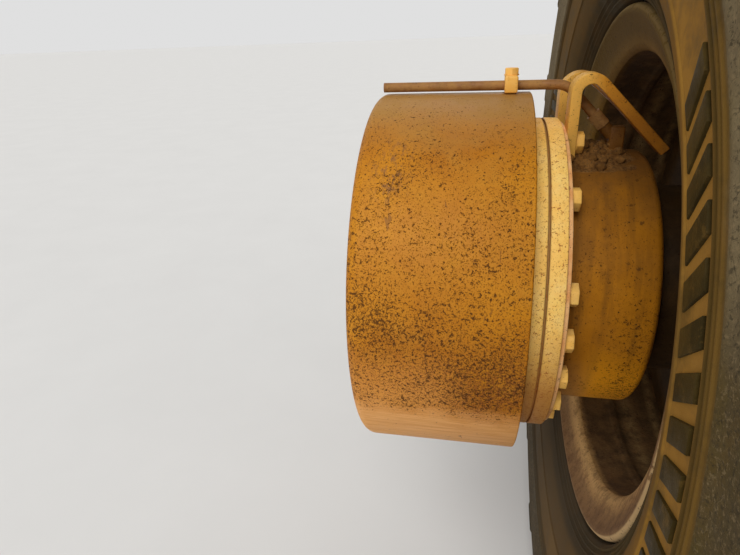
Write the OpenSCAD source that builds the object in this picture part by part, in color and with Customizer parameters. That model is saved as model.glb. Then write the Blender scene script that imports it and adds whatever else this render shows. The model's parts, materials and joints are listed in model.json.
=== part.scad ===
// Driven wheel end of a motor grader: a stepped hub drive housing with its guard bars
// and steel line, and the disc wheel with its tyre that turns about it.
// The axle is the X axis, +X is outboard and +Z is up.
// X = 0 is the face that bolts to the machine. Sizes are in millimetres.

/* [Drum housing] */
// outer radius of the large drum
drum_r = 245; // [200:1:280]
// length of the large drum
drum_len = 197; // [150:1:240]
// rounding of the drum's inner end
drum_round = 14; // [6:1:24]
// small bevel at the drum's outboard edge
drum_edge = 2; // [1:0.5:4]

/* [Mounting flange] */
// thickness of the flange that bolts to the machine
mount_t = 25; // [18:1:40]
// radius of the mounting flange
mount_r = 120; // [105:1:150]
// radius of the pilot bore in the mounting flange
pilot_r = 60; // [45:1:70]
// radius of the circle of mounting holes
mount_bolt_circle_r = 98; // [88:1:105]
// radius of one mounting hole
mount_hole_r = 9; // [7:0.5:11]
// number of mounting holes
mount_hole_count = 12; // [8:1:14]

/* [Joint rings] */
// how far the two stacked joint rings stand out past the thin bolted flange
ring_out = 5; // [2:0.5:12]
// thickness of the inner joint ring
ring_a_t = 17; // [12:1:24]
// thickness of the outer joint ring
ring_b_t = 20; // [14:1:26]
// width of the groove between the two rings
ring_groove_w = 2; // [1:0.5:4]
// depth of the groove between the two rings
ring_groove_deep = 4; // [2:0.5:8]

/* [Small drum] */
// outer radius of the small drum that reaches into the rim
small_r = 171; // [150:1:190]
// distance from the joint rings to the small drum's outboard end
small_len = 107; // [80:1:130]
// rounding of the small drum's outboard end
small_round = 9; // [5:1:30]
// how far the thin bolted flange stands out past the small drum
thin_out = 36; // [30:1:45]
// thickness of the thin bolted flange
thin_t = 5; // [3:0.5:8]

/* [Flange bolts] */
// distance from the thin flange's edge in to the bolt circle
bolt_in = 17; // [14:0.5:20]
// number of places on the bolt circle
bolt_places = 22; // [18:1:26]
// width across flats of a bolt head
bolt_flats = 24; // [18:1:27]
// height of a bolt head
bolt_head_h = 10; // [8:0.5:14]
// place after the front guard bar that has no bolt
first_bare_place = 1; // [1:1:17]
// another place that has no bolt
second_bare_place = 3; // [1:1:17]

/* [Guard bars] */
// thickness of the bent flat bar
bar_t = 12; // [8:1:16]
// width of the bent flat bar
bar_w = 32; // [26:1:40]
// centre radius of the bar's hook
bar_bend_r = 16.5; // [14:0.5:26]
// height of the hook's centre over the bolt circle
bar_rise = 57; // [50:1:75]
// slope of the bar's long leg below level
bar_slope = 45; // [30:1:55]
// length of the bar's long leg
bar_leg = 112; // [60:1:120]
// centre radius of the rear bar's hook
rear_bend_r = 22.5; // [14:0.5:26]
// height of the rear hook's centre over the bolt circle
rear_bar_rise = 45; // [40:1:75]
// slope of the rear bar's long leg below level
rear_bar_slope = 40; // [30:1:55]
// length of the rear bar's long leg
rear_bar_leg = 84; // [60:1:120]
// places on the bolt circle from the front bar back over the top to the rear bar
bar_apart = 2; // [1:1:3]
// radius of the bolt through each bar's foot
guard_bolt_r = 9; // [6:0.5:10]

/* [Steel line] */
// radius of the steel line
line_r = 6; // [5:0.5:9]
// height of the line over the drum, to its centre
line_lift = 9; // [8:0.5:16]
// where the line starts, from the mounting face
line_start_x = 34; // [20:1:60]
// where the line's bend begins, from the joint rings' outboard face
line_bend_x = -8; // [-20:1:10]
// centre radius of the line's bend
line_bend_r = 30; // [20:1:45]
// slope of the line after its bend
line_slope = 46; // [30:1:50]
// length of the straight stretch after the bend
line_leg = 62; // [45:1:70]
// place of the clip along the line, from the mounting face
clip_x = 196; // [150:1:210]

/* [Rim] */
// radius of the bead seat at the rim flange
seat_r = 304.8; // [250:0.1:330]
// width between the two rim flanges
rim_between = 254; // [200:1:330]
// radius of the rolled edge of a rim flange
lip_roll_r = 7; // [5:0.5:9]
// height of the rim flange over the bead seat
flange_h = 37; // [28:1:44]
// how far the rim flange reaches out past the tyre's bead
lip_out = 20; // [16:1:26]
// wall thickness of the rim base
rim_wall = 8; // [6:0.5:12]
// distance from the small drum's outboard end back to the rim's inboard lip
drum_reach = 40; // [10:1:60]

/* [Tyre] */
// outer radius over the lugs
tyre_r = 685; // [600:5:750]
// half of the tyre's section width
tyre_half_w = 178.5; // [165:0.5:210]
// half of the tread's width
tread_half_w = 158; // [140:1:175]
// depth of the tread's lugs
lug_h = 27; // [18:1:34]
// number of lugs on each side
lug_count = 19; // [14:1:24]
// width of a lug along the tread
lug_w = 66; // [46:1:80]
// how far a lug's bar leans along the tread by the middle
lug_slant = 74; // [40:1:90]
// how far the bead's ledge reaches out over the rim flange
bead_ledge = 20; // [10:1:26]
// height of the sloped flank between the rim flange and the flat of the sidewall
flank_rise = 73; // [50:1:100]
// thickness of the rubber under the tread's grooves
crown_t = 24; // [16:1:32]
// width of a bead on the rim
bead_w = 17; // [14:1:40]

/* [Hub and disc] */
// radius of the stub axle inside the hub
spindle_r = 60; // [45:1:70]
// gap between the small drum and the turning hub
hub_gap = 10; // [6:1:16]
// radius of the hub's barrel
hub_r = 125; // [110:1:135]
// radius of the pilot that centres the disc
disc_pilot_r = 140; // [120:1:145]
// thickness of the wheel disc
disc_t = 14; // [10:1:20]
// distance from the pilot out to the wheel stud circle
stud_out = 27.5; // [24:0.5:34]
// how far the hub's wheel flange stands out past the stud circle
flange_out = 24.5; // [20:0.5:30]
// number of wheel studs
stud_count = 10; // [8:1:12]
// radius of a wheel stud
stud_r = 11; // [9:0.5:12]

/* [Hidden] */
$fn = 96;
fit_gap = 0.2;
turn_gap = 0.05;
seat_gap = 0.02;
bend_lap = 4;

thin_r = small_r + thin_out;
ring_r = thin_r + ring_out;
bolt_circle_r = thin_r - bolt_in;

ring_x = mount_t + drum_len;
ring_b_x = ring_x + ring_a_t;
thin_x = ring_b_x + ring_b_t;
thin_face_x = thin_x + thin_t;
small_end_x = thin_x + small_len;
hub_x = small_end_x + hub_gap;

lip_r = seat_r + flange_h;
lip_x = small_end_x - drum_reach;
rim_in_x = lip_x + lip_out;
wheel_x = rim_in_x + rim_between / 2;
rim_out_x = rim_in_x + rim_between;
base_r = seat_r - 7;
base_in_r = base_r - rim_wall;
gutter_r = base_r - 7;
gutter_in_r = base_in_r - 9;
gutter_x = rim_out_x - 9;
gutter_w = 12;
gutter_lip = 10;
flange_turn_r = lip_r - 16;
back_lean = 45;
roll_steps = 7;

stud_circle_r = disc_pilot_r + stud_out;
hub_flange_r = stud_circle_r + flange_out;
disc_face_x = wheel_x + 31;
hub_flange_t = 23;
hub_end_x = disc_face_x + 82;
cover_t = 14;
cover_r = disc_pilot_r - 6;
cover_boss_r = 48;
stud_reach = 30;
spindle_end_x = disc_face_x - 28;

bolt_step = 360 / bolt_places;
rear_bar_place = bolt_places - bar_apart;
line_z = drum_r + line_lift;
line_bend_start_x = thin_x + line_bend_x;
line_leg_x = line_bend_start_x + line_bend_r * sin(line_slope);
line_leg_z = line_z - line_bend_r * (1 - cos(line_slope));
line_end_x = line_leg_x + line_leg * cos(line_slope);
line_end_z = line_leg_z - line_leg * sin(line_slope);
elbow_neck = 5;
nut_room = 20;
shoulder_slope = 55;

housing_yellow = [0.80, 0.52, 0.08];
bolt_yellow = [0.85, 0.60, 0.14];
rusty_steel = [0.50, 0.30, 0.12];
rim_yellow = [0.62, 0.40, 0.12];
tyre_black = [0.12, 0.11, 0.09];
dark_steel = [0.25, 0.22, 0.20];

// turns a shape drawn along Z so that it lies along the axle
module axle() {
    rotate([0, 90, 0])
        children();
}

// a plain round piece along the axle, from one X to another
module disc(r, from_x, to_x) {
    translate([from_x, 0, 0])
        axle()
            cylinder(r = r, h = to_x - from_x);
}

// a hexagonal prism along the axle
module hex(flats, from_x, height) {
    translate([from_x, 0, 0])
        axle()
            cylinder(r = flats / sqrt(3), h = height, $fn = 6);
}

// puts its child on a circle about the axle, at a clock angle from the top
module at_clock(angle, radius) {
    rotate([angle, 0, 0])
        translate([0, 0, radius])
            children();
}

module mounting_flange() {
    color(housing_yellow)
    difference() {
        disc(mount_r, 0, mount_t);
        disc(pilot_r, -1, mount_t + 1);
        for (i = [0:mount_hole_count - 1])
            at_clock((i + 0.5) * 360 / mount_hole_count, mount_bolt_circle_r)
                disc(mount_hole_r, -1, mount_t + 1);
    }
}

module drum_housing() {
    color(housing_yellow)
    axle()
        rotate_extrude()
            difference() {
                translate([0, mount_t])
                    square([drum_r, drum_len]);
                translate([drum_r - drum_round, mount_t])
                    difference() {
                        translate([0, -1])
                            square([drum_round + 1, drum_round + 1]);
                        translate([0, drum_round])
                            circle(r = drum_round);
                    }
                translate([drum_r, ring_x])
                    rotate(45)
                        square(drum_edge * sqrt(2), center = true);
            }
}

// one joint ring, with half of the groove between the two cut off its rim
module joint_ring(from_x, thick, groove_at_end) {
    groove_x = groove_at_end ? from_x + thick - ring_groove_w / 2 : from_x;
    difference() {
        disc(ring_r, from_x, from_x + thick);
        difference() {
            disc(ring_r + 1, groove_x, groove_x + ring_groove_w / 2);
            disc(ring_r - ring_groove_deep, groove_x - 1, groove_x + ring_groove_w);
        }
    }
}

module inner_joint_ring() {
    color(housing_yellow)
        joint_ring(ring_x, ring_a_t, true);
}

module outer_joint_ring() {
    color(housing_yellow)
        joint_ring(ring_b_x, ring_b_t, false);
}

module small_drum() {
    color(housing_yellow)
    axle()
        rotate_extrude()
            difference() {
                union() {
                    translate([0, thin_x])
                        square([small_r, small_len]);
                    translate([0, thin_x])
                        square([thin_r, thin_t]);
                }
                translate([small_r - small_round, small_end_x - small_round])
                    difference() {
                        square(small_round + 1);
                        circle(r = small_round);
                    }
            }
}

// clock angle of a place on the bolt circle, the top lies between two places
function bolt_clock(place) = (place + 0.5) * bolt_step;

// hex heads on the thin flange, with the bars' places and the bare places left out
module flange_bolts() {
    color(bolt_yellow)
    for (i = [1:bolt_places - 1])
        if (i != rear_bar_place && i != first_bare_place && i != second_bare_place)
            at_clock(bolt_clock(i), bolt_circle_r)
                hex(bolt_flats, thin_face_x, bolt_head_h);
}

// a flat bar that stands on the thin flange, hooks over and slopes down into the rim
// its bend is a hair thinner and laps into both straight stretches
module guard_bar(place, rise, bend_r, slope, leg) {
    foot_z = bolt_circle_r * cos(bolt_clock(place));
    foot_y = -bolt_circle_r * sin(bolt_clock(place));
    turn = 90 + slope;
    foot_low = sqrt(pow(small_r + 1, 2) - pow(max(abs(foot_y) - bar_w / 2, 0), 2));
    bend_x = thin_face_x + bar_t / 2 + bend_r;
    bend_z = bolt_circle_r + rise;
    translate([bend_x, foot_y, bend_z])
        rotate([90, 0, 0]) {
            translate([-bend_r - bar_t / 2, foot_low - bend_z, -bar_w / 2])
                difference() {
                    cube([bar_t, bend_z - foot_low, bar_w]);
                    translate([-1, foot_z - foot_low, bar_w / 2])
                        rotate([0, 90, 0])
                            cylinder(r = guard_bolt_r, h = bar_t + 2);
                }
            rotate(180 - turn - bend_lap)
                rotate_extrude(angle = turn + 2 * bend_lap)
                    translate([bend_r - bar_t / 2 + fit_gap, fit_gap - bar_w / 2])
                        square([bar_t - 2 * fit_gap, bar_w - 2 * fit_gap]);
            rotate(180 - turn)
                translate([bend_r - bar_t / 2, -leg, -bar_w / 2])
                    cube([bar_t, leg, bar_w]);
        }
}

module front_guard_bar() {
    color(housing_yellow)
        guard_bar(0, bar_rise, bar_bend_r, bar_slope, bar_leg);
}

module rear_guard_bar() {
    color(housing_yellow)
        guard_bar(rear_bar_place, rear_bar_rise, rear_bend_r, rear_bar_slope, rear_bar_leg);
}

// the bolts through the feet of the two guard bars
module guard_bolts() {
    color(bolt_yellow)
    for (place = [0, rear_bar_place])
        at_clock(bolt_clock(place), bolt_circle_r) {
            hex(bolt_flats, thin_face_x + bar_t, bolt_head_h);
            disc(guard_bolt_r - fit_gap, thin_face_x, thin_face_x + bar_t);
        }
}

// the line's straight stretches, with a bend a hair thinner that laps into both
module steel_line() {
    color(rusty_steel)
    union() {
        translate([line_start_x, 0, line_z])
            axle()
                cylinder(r = line_r, h = line_bend_start_x - line_start_x);
        translate([line_bend_start_x, 0, line_z - line_bend_r])
            rotate([90, 0, 0])
                rotate(90 - line_slope - bend_lap)
                    rotate_extrude(angle = line_slope + 2 * bend_lap)
                        translate([line_bend_r, 0])
                            circle(r = line_r - fit_gap);
        translate([line_leg_x, 0, line_leg_z])
            rotate([0, 90 + line_slope, 0])
                cylinder(r = line_r, h = line_leg);
    }
}

// a block that holds the line on the drum, with a hex bolt on its top
module line_clip() {
    clip_len = 16;
    clip_w = 34;
    clip_top = line_z + line_r + 6;
    cap_flats = 16;
    cap_h = 9;
    color(bolt_yellow)
    difference() {
        union() {
            translate([clip_x - clip_len / 2, -clip_w / 2, drum_r - 2])
                cube([clip_len, clip_w, clip_top - drum_r + 2]);
            translate([clip_x, 0, clip_top - 1])
                cylinder(r = cap_flats / sqrt(3), h = cap_h + 1, $fn = 6);
        }
        translate([clip_x - clip_len, 0, line_z])
            axle()
                cylinder(r = line_r + fit_gap, h = 2 * clip_len);
        disc(drum_r + seat_gap, clip_x - clip_len, clip_x + clip_len);
    }
}

// the nut that joins the line to its elbow
module line_nut() {
    nut_len = 20;
    nut_flats = 17;
    color(rusty_steel)
    translate([line_end_x, 0, line_end_z])
        rotate([0, 90 + line_slope, 0])
            translate([0, 0, -nut_len - elbow_neck - fit_gap])
                difference() {
                    cylinder(r = nut_flats / sqrt(3), h = nut_len, $fn = 6);
                    translate([0, 0, -1])
                        cylinder(r = line_r + fit_gap, h = nut_len + 2);
                }
}

// the elbow block that stands on the small drum and takes the line
module line_elbow() {
    block_w = 18;
    block_top = line_end_z + 3;
    neck_r = 8;
    color(housing_yellow)
    difference() {
        union() {
            translate([line_end_x + 4, -block_w / 2, small_r - 4])
                cube([block_w, block_w, block_top - small_r + 4]);
            translate([line_end_x, 0, line_end_z])
                rotate([0, 90 + line_slope, 0])
                    translate([0, 0, -elbow_neck])
                        cylinder(r = neck_r, h = elbow_neck + 11);
        }
        translate([line_end_x, 0, line_end_z])
            rotate([0, 90 + line_slope, 0])
                translate([0, 0, -nut_room])
                    cylinder(r = line_r + fit_gap, h = nut_room + fit_gap);
        disc(small_r + seat_gap, thin_x, small_end_x);
    }
}

module stub_axle() {
    color(dark_steel)
        disc(spindle_r, small_end_x, spindle_end_x);
}

module hub() {
    color(housing_yellow)
    difference() {
        union() {
            disc(hub_r, hub_x, disc_face_x - 1);
            disc(hub_flange_r, disc_face_x - hub_flange_t, disc_face_x);
            disc(disc_pilot_r - fit_gap, disc_face_x - 1, hub_end_x);
        }
        disc(spindle_r + turn_gap, hub_x - 1, spindle_end_x + 3);
        for (i = [0:stud_count - 1])
            at_clock(i * 360 / stud_count, stud_circle_r)
                disc(stud_r + fit_gap, disc_face_x - hub_flange_t - 1, disc_face_x + 1);
    }
}

module hub_cover() {
    color(housing_yellow)
    union() {
        disc(cover_r, hub_end_x, hub_end_x + cover_t);
        disc(cover_boss_r, hub_end_x + cover_t - 1, hub_end_x + cover_t + 8);
    }
}

module cover_bolts() {
    cover_bolt_count = 12;
    cover_bolt_flats = 18;
    color(bolt_yellow)
    for (i = [0:cover_bolt_count - 1])
        at_clock((i + 0.5) * 360 / cover_bolt_count, cover_r - 14)
            hex(cover_bolt_flats, hub_end_x + cover_t, 7);
}

// each stud has a round head behind the hub's flange
module wheel_studs() {
    head_t = 7;
    flange_back_x = disc_face_x - hub_flange_t;
    color(dark_steel)
    for (i = [0:stud_count - 1])
        at_clock(i * 360 / stud_count, stud_circle_r) {
            disc(stud_r, flange_back_x - 0.5, disc_face_x + disc_t + stud_reach);
            disc(stud_r + 5, flange_back_x - head_t, flange_back_x - seat_gap);
        }
}

module wheel_nuts() {
    nut_flats = 33;
    nut_len = 24;
    color(dark_steel)
    for (i = [0:stud_count - 1])
        at_clock(i * 360 / stud_count, stud_circle_r)
            difference() {
                hex(nut_flats, disc_face_x + disc_t + seat_gap, nut_len);
                disc(stud_r + fit_gap, disc_face_x, disc_face_x + disc_t + nut_len + 2);
            }
}

// a dished plate between the hub's flange and the rim base
module wheel_disc() {
    dish = 26;
    flat_r = hub_flange_r + 22;
    rise_r = base_in_r - 32;
    corner = 5;
    color(rim_yellow)
    difference() {
        axle()
            rotate_extrude()
                polygon([
                    [disc_pilot_r, disc_face_x],
                    [flat_r, disc_face_x],
                    [rise_r, disc_face_x - dish],
                    [base_in_r, disc_face_x - dish],
                    [base_in_r, disc_face_x - dish + disc_t],
                    [rise_r + corner, disc_face_x - dish + disc_t],
                    [flat_r + corner, disc_face_x + disc_t],
                    [disc_pilot_r, disc_face_x + disc_t]]);
        for (i = [0:stud_count - 1])
            at_clock(i * 360 / stud_count, stud_circle_r)
                disc(stud_r + 2, disc_face_x - 1, disc_face_x + disc_t + 1);
    }
}

// radius and X along a rim flange: it leaves the bead, leans out to its rolled edge
// and comes back on the other side, away is 1 outboard and -1 inboard
function rim_flange(at_x, away) =
    let (roll_r = lip_r - lip_roll_r,
         roll_w = lip_out - lip_roll_r,
         rise = roll_r - flange_turn_r,
         lean = atan2(roll_w, rise) - asin(lip_roll_r / norm([roll_w, rise])))
    concat(
        [[flange_turn_r, at_x]],
        [for (i = [0:roll_steps])
            let (turn = lean - 90 + (back_lean + 180 - lean) * i / roll_steps)
            [roll_r + lip_roll_r * cos(turn), at_x + away * (roll_w + lip_roll_r * sin(turn))]],
        [[lip_r - 24, at_x + away * 11]]);

module rim_base() {
    seat_w = 46;
    color(rim_yellow)
    axle()
        rotate_extrude()
            polygon(concat(
                [[seat_r, rim_in_x]],
                rim_flange(rim_in_x, -1),
                [[base_in_r + 3, rim_in_x - 1],
                 [base_in_r, rim_in_x + 5],
                 [base_in_r, gutter_x - 26],
                 [gutter_in_r, gutter_x - 14],
                 [gutter_in_r, gutter_x + gutter_w + gutter_lip],
                 [base_r + 2, gutter_x + gutter_w + gutter_lip],
                 [base_r + 2, gutter_x + gutter_w],
                 [gutter_r, gutter_x + gutter_w],
                 [gutter_r, gutter_x],
                 [base_r, gutter_x],
                 [base_r, rim_in_x + seat_w + 4],
                 [seat_r - 4, rim_in_x + seat_w]]));
}

// the loose outboard flange of the rim, which slides over the rim base
module side_ring() {
    ring_reach = 48;
    ring_tip = 3;
    color(rim_yellow)
    axle()
        rotate_extrude()
            polygon(concat(
                [[base_r + fit_gap, rim_out_x - ring_reach],
                 [base_r + ring_tip, rim_out_x - ring_reach],
                 [seat_r, rim_out_x]],
                rim_flange(rim_out_x, 1),
                [[seat_r + 1, rim_out_x + 4],
                 [base_r + fit_gap, gutter_x]]));
}

// the ring that sits in the rim base's gutter and keeps the side ring on
module lock_ring() {
    color(rusty_steel)
    axle()
        rotate_extrude()
            polygon([
                [gutter_r + fit_gap, gutter_x + fit_gap],
                [gutter_r + fit_gap, gutter_x + gutter_w - fit_gap],
                [base_r + 4, gutter_x + gutter_w - fit_gap],
                [base_r + 6, gutter_x + gutter_w + 3],
                [seat_r + 1, gutter_x + gutter_w + 3],
                [seat_r + 0.6, gutter_x + gutter_w + 1.5],
                [base_r, gutter_x + fit_gap]]);
}

// the stem comes out of the rim base, turns outboard and ends in its cap
module valve_stem() {
    stem_r = 5;
    stem_len = 52;
    cap_r = 7;
    cap_len = 12;
    drop = 26;
    color(dark_steel)
    at_clock(36, 0)
        translate([wheel_x + 62, 0, base_in_r - drop]) {
            cylinder(r = stem_r, h = drop);
            translate([-stem_r, 0, 0])
                axle()
                    cylinder(r = stem_r, h = stem_len);
            translate([stem_len - stem_r, 0, 0])
                axle()
                    cylinder(r = cap_r, h = cap_len);
        }
}

// half of the carcass outline, from the bead's toe to the edge of the tread
function half_carcass() = [
    [seat_r + 0.5, rim_between / 2 - bead_w],
    [seat_r + 0.5, rim_between / 2 - 0.4],
    [lip_r + 1.5, rim_between / 2 - 0.4],
    [lip_r + 1.5, rim_between / 2 + bead_ledge],
    [lip_r + flank_rise, tyre_half_w],
    [tyre_r - lug_h - 42, tyre_half_w],
    [tyre_r - lug_h, tread_half_w - 10]];

function mirrored(points) = [for (i = [len(points) - 1:-1:0]) [points[i][0], -points[i][1]]];

// one lug: a slanted bar from the shoulder to just past the tread's middle
// its top is flat and stands as high as the tyre's radius at the corners
module lug(side) {
    bar = lug_w * 0.8;
    across = lug_slant + (bar + lug_w) / 2;
    root_z = tyre_r - lug_h - 40;
    top_z = sqrt(pow(tyre_r - 1, 2) - pow(across / 2, 2));
    translate([wheel_x, lug_w / 2 - across / 2, 0])
        difference() {
            translate([0, 0, root_z])
                linear_extrude(top_z - root_z)
                    scale([side, 1])
                        polygon([
                            [tread_half_w + 16, -lug_w / 2],
                            [tread_half_w + 16, lug_w / 2],
                            [-14, bar / 2 + lug_slant],
                            [-26, -bar / 2 + lug_slant]]);
            translate([side * tread_half_w, 0, top_z - 14])
                rotate([0, side * shoulder_slope, 0])
                    translate([-tread_half_w / 2, -lug_w, 0])
                        cube([tread_half_w, 2 * lug_w, 2 * lug_h]);
        }
}

module tyre() {
    cavity_half_w = rim_between / 2 - bead_w;
    color(tyre_black)
    difference() {
        union() {
            translate([wheel_x, 0, 0])
                axle()
                    rotate_extrude()
                        polygon(concat(half_carcass(), mirrored(half_carcass())));
            for (i = [0:lug_count - 1])
                for (side = [-1, 1])
                    rotate([(i + (side + 1) / 4) * 360 / lug_count, 0, 0])
                        lug(side);
        }
        disc(tyre_r - lug_h - crown_t, wheel_x - cavity_half_w, wheel_x + cavity_half_w);
    }
}

mounting_flange();
drum_housing();
inner_joint_ring();
outer_joint_ring();
small_drum();
flange_bolts();
front_guard_bar();
rear_guard_bar();
guard_bolts();
steel_line();
line_clip();
line_nut();
line_elbow();
stub_axle();
hub();
hub_cover();
cover_bolts();
wheel_studs();
wheel_nuts();
wheel_disc();
rim_base();
side_ring();
lock_ring();
valve_stem();
tyre();
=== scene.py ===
import json
import math
import random

import bmesh
import bpy
from mathutils import Matrix, Vector, noise

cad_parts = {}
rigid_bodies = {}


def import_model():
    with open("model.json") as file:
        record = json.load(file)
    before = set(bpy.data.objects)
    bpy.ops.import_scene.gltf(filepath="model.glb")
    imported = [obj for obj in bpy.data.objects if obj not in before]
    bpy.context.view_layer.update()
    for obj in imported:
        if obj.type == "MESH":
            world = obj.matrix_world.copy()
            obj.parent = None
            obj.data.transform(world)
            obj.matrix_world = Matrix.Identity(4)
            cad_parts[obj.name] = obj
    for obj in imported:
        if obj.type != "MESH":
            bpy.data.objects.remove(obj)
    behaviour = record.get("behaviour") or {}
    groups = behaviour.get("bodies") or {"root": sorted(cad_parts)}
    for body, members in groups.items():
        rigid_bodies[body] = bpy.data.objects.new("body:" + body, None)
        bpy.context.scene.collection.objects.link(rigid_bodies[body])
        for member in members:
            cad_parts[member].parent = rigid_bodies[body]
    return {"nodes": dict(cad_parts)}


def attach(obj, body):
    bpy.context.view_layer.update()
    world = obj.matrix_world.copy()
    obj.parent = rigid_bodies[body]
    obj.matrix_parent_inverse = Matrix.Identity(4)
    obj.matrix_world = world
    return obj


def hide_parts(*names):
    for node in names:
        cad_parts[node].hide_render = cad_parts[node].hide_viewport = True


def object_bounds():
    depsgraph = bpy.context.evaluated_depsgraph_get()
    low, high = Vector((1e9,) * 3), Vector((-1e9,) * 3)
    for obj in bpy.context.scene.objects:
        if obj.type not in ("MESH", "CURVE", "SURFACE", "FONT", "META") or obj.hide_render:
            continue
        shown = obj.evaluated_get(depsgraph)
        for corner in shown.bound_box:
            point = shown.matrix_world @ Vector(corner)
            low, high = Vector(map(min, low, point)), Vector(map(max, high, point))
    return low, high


for item in list(bpy.data.objects):
    bpy.data.objects.remove(item)
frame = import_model()
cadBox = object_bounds()
scene = bpy.context.scene
scene.view_settings.view_transform = "Standard"
mm = 0.001
tiny = 0.00001  # points nearer than this are one
dice = random.Random(7)
print("frame loaded:", len(frame["nodes"]), "nodes")

# camera and studio come first, so that every draft is seen from the right place
cameraPlace = {
    "where": (0.1655, -0.7418, 0.3240),
    "right": (0.97996, 0.19566, -0.03745),
    "up": (-0.04801, 0.41440, 0.90883),
    "back": (0.19334, -0.88881, 0.41549),
    "lens": 26.34,
}
studio = {
    "ambient": 0.52,
    "backdrop": 0.93,
    "floor": (0.72, 0.71, 0.69),
    "keyStrength": 2.15,
    "keyFrom": (-0.2, -1.0, 0.95),
    "fillStrength": 0.55,
    "fillFrom": (1.0, -1.2, 0.35),
    "backStrength": 0.6,
    "backFrom": (0.5, 1.2, 0.7),
}


def makeCamera(look):
    camera = bpy.data.objects.new("photoCamera", bpy.data.cameras.new("photoCamera"))
    camera.data.lens = look["lens"]
    camera.data.sensor_width = 36
    camera.data.clip_start = 0.01
    turn = Matrix((look["right"], look["up"], look["back"])).transposed()
    camera.matrix_world = Matrix.Translation(look["where"]) @ turn.to_4x4()
    scene.collection.objects.link(camera)
    scene.camera = camera


def makeLamp(name, strength, comesFrom, spread):
    lamp = bpy.data.objects.new(name, bpy.data.lights.new(name, "SUN"))
    lamp.data.energy = strength
    lamp.data.angle = math.radians(spread)
    lamp.rotation_euler = Vector(comesFrom).to_track_quat("Z", "Y").to_euler()
    scene.collection.objects.link(lamp)


def makeStudio(look):
    world = bpy.data.worlds.new("studio")
    scene.world = world
    world.use_nodes = True
    nodes, links = world.node_tree.nodes, world.node_tree.links
    nodes.clear()
    path = nodes.new("ShaderNodeLightPath")
    seen = nodes.new("ShaderNodeMath")
    seen.operation = "MAXIMUM"
    links.new(path.outputs["Is Camera Ray"], seen.inputs[0])
    links.new(path.outputs["Is Glossy Ray"], seen.inputs[1])
    through = nodes.new("ShaderNodeMath")
    through.operation = "MAXIMUM"
    links.new(seen.outputs[0], through.inputs[0])
    links.new(path.outputs["Is Transmission Ray"], through.inputs[1])
    light = nodes.new("ShaderNodeBackground")
    light.inputs["Strength"].default_value = look["ambient"]
    wall = nodes.new("ShaderNodeBackground")
    wall.inputs["Strength"].default_value = look["backdrop"]
    chosen = nodes.new("ShaderNodeMixShader")
    links.new(through.outputs[0], chosen.inputs[0])
    links.new(light.outputs[0], chosen.inputs[1])
    links.new(wall.outputs[0], chosen.inputs[2])
    links.new(chosen.outputs[0], nodes.new("ShaderNodeOutputWorld").inputs["Surface"])
    makeLamp("keyLamp", look["keyStrength"], look["keyFrom"], 40)
    makeLamp("fillLamp", look["fillStrength"], look["fillFrom"], 60)
    makeLamp("backLamp", look["backStrength"], look["backFrom"], 60)
    # the pale floor at the tyre's lowest point
    ground = bmesh.new()
    bmesh.ops.create_grid(ground, x_segments=1, y_segments=1, size=60)
    bmesh.ops.translate(ground, verts=ground.verts, vec=(0, 0, cadBox[0][2]))
    mesh = bpy.data.meshes.new("floor")
    ground.to_mesh(mesh)
    ground.free()
    floor = bpy.data.objects.new("floor", mesh)
    scene.collection.objects.link(floor)
    pale = Finish("paleFloor", specular=0.2)
    grain = pale.band(pale.noise(3, 4, 0.6), 0.3, 0.7)
    tone = look["floor"]
    pale.done(pale.mix(grain, tuple(0.97 * c for c in tone) + (1,), tone + (1,)), 0.9)
    mesh.materials.append(pale.material)


def colour(red, green, blue):
    # a screen colour from 0 to 255, made linear for the shaders
    return tuple(((c / 255 + 0.055) / 1.055) ** 2.4 for c in (red, green, blue)) + (1.0,)


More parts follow.
